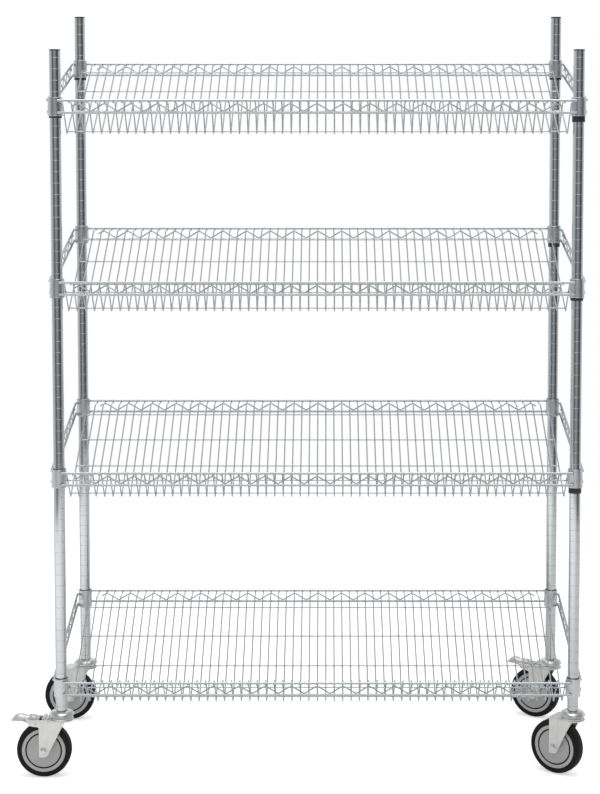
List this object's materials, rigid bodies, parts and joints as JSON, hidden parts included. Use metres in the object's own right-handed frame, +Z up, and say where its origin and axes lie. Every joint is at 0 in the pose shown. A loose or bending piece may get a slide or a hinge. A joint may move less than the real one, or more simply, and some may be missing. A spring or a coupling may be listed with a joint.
{
  "type": "bread rack",
  "caption": "Mobile chrome wire rack with slanted trough shelves between grooved posts, on swivel casters with foot brakes, for bread baskets.",
  "frame": {"origin": "on the floor, midway between the four posts", "axes": "+Z up, +X to the right of someone facing the rack, +Y to its back, where the taller posts stand"},
  "size_m": [1.3141, 0.507, 1.757],
  "materials": {
    "chrome_post": "bright chrome plate",
    "chrome_wire": "bright chrome plate on welded wire",
    "black_plastic": "moulded, slightly grained",
    "zinc_plate": "zinc plate on pressed steel",
    "grey_plastic": "moulded",
    "black_rubber": "moulded rubber"
  },
  "bodies": {
    "rack": {"front_left_post": "chrome_post", "front_left_post_cap": "black_plastic", "front_right_post": "chrome_post", "front_right_post_cap": "black_plastic", "rear_left_post": "chrome_post", "rear_left_post_cap": "black_plastic", "rear_right_post": "chrome_post", "rear_right_post_cap": "black_plastic", "top_shelf": "chrome_wire", "top_shelf_front_left_sleeve": "black_plastic", "top_shelf_front_right_sleeve": "black_plastic", "top_shelf_rear_left_sleeve": "black_plastic", "top_shelf_rear_right_sleeve": "black_plastic", "upper_shelf": "chrome_wire", "upper_shelf_front_left_sleeve": "black_plastic", "upper_shelf_front_right_sleeve": "black_plastic", "upper_shelf_rear_left_sleeve": "black_plastic", "upper_shelf_rear_right_sleeve": "black_plastic", "lower_shelf": "chrome_wire", "lower_shelf_front_left_sleeve": "black_plastic", "lower_shelf_front_right_sleeve": "black_plastic", "lower_shelf_rear_left_sleeve": "black_plastic", "lower_shelf_rear_right_sleeve": "black_plastic", "bottom_shelf": "chrome_wire", "bottom_shelf_front_left_sleeve": "black_plastic", "bottom_shelf_front_right_sleeve": "black_plastic", "bottom_shelf_rear_left_sleeve": "black_plastic", "bottom_shelf_rear_right_sleeve": "black_plastic", "front_left_caster_stem": "zinc_plate", "front_left_swivel_cup": "zinc_plate", "front_right_caster_stem": "zinc_plate", "front_right_swivel_cup": "zinc_plate", "rear_left_caster_stem": "zinc_plate", "rear_left_swivel_cup": "zinc_plate", "rear_right_caster_stem": "zinc_plate", "rear_right_swivel_cup": "zinc_plate"},
    "front_left_caster": {"front_left_fork": "zinc_plate", "front_left_axle_bolt": "zinc_plate", "front_left_axle_nut": "zinc_plate"},
    "front_left_wheel": {"front_left_wheel_core": "grey_plastic", "front_left_tyre": "black_rubber"},
    "front_left_brake": {"front_left_brake_pedal": "zinc_plate", "front_left_brake_shoe": "black_plastic"},
    "front_right_caster": {"front_right_fork": "zinc_plate", "front_right_axle_bolt": "zinc_plate", "front_right_axle_nut": "zinc_plate"},
    "front_right_wheel": {"front_right_wheel_core": "grey_plastic", "front_right_tyre": "black_rubber"},
    "rear_left_caster": {"rear_left_fork": "zinc_plate", "rear_left_axle_bolt": "zinc_plate", "rear_left_axle_nut": "zinc_plate"},
    "rear_left_wheel": {"rear_left_wheel_core": "grey_plastic", "rear_left_tyre": "black_rubber"},
    "rear_right_caster": {"rear_right_fork": "zinc_plate", "rear_right_axle_bolt": "zinc_plate", "rear_right_axle_nut": "zinc_plate"},
    "rear_right_wheel": {"rear_right_wheel_core": "grey_plastic", "rear_right_tyre": "black_rubber"},
    "rear_right_brake": {"rear_right_brake_pedal": "zinc_plate", "rear_right_brake_shoe": "black_plastic"}
  },
  "joints": [
    {"name": "front_left_swivel", "type": "hinge", "parent": "rack", "child": "front_left_caster", "pos_m": [-0.585, -0.204, 0.138], "axis": [0, 0, 1], "continuous": true},
    {"name": "front_left_wheel_spin", "type": "hinge", "parent": "front_left_caster", "child": "front_left_wheel", "pos_m": [-0.625, -0.204, 0.0625], "axis": [0, 1, 0], "continuous": true},
    {"name": "front_left_brake_press", "type": "hinge", "parent": "front_left_caster", "child": "front_left_brake", "pos_m": [-0.641, -0.204, 0.1285], "axis": [0, -1, 0], "range_deg": [0, 12]},
    {"name": "front_right_swivel", "type": "hinge", "parent": "rack", "child": "front_right_caster", "pos_m": [0.585, -0.204, 0.138], "axis": [0, 0, 1], "continuous": true},
    {"name": "front_right_wheel_spin", "type": "hinge", "parent": "front_right_caster", "child": "front_right_wheel", "pos_m": [0.55264, -0.18049, 0.0625], "axis": [0.5878, 0.809, 0], "continuous": true},
    {"name": "rear_left_swivel", "type": "hinge", "parent": "rack", "child": "rear_left_caster", "pos_m": [-0.585, 0.204, 0.138], "axis": [0, 0, 1], "continuous": true},
    {"name": "rear_left_wheel_spin", "type": "hinge", "parent": "rear_left_caster", "child": "rear_left_wheel", "pos_m": [-0.625, 0.204, 0.0625], "axis": [0, 1, 0], "continuous": true},
    {"name": "rear_right_swivel", "type": "hinge", "parent": "rack", "child": "rear_right_caster", "pos_m": [0.585, 0.204, 0.138], "axis": [0, 0, 1], "continuous": true},
    {"name": "rear_right_wheel_spin", "type": "hinge", "parent": "rear_right_caster", "child": "rear_right_wheel", "pos_m": [0.55036, 0.224, 0.0625], "axis": [0.5, 0.866, 0], "continuous": true},
    {"name": "rear_right_brake_press", "type": "hinge", "parent": "rear_right_caster", "child": "rear_right_brake", "pos_m": [0.5365, 0.232, 0.1285], "axis": [-0.5, -0.866, 0], "range_deg": [0, 12]}
  ]
}
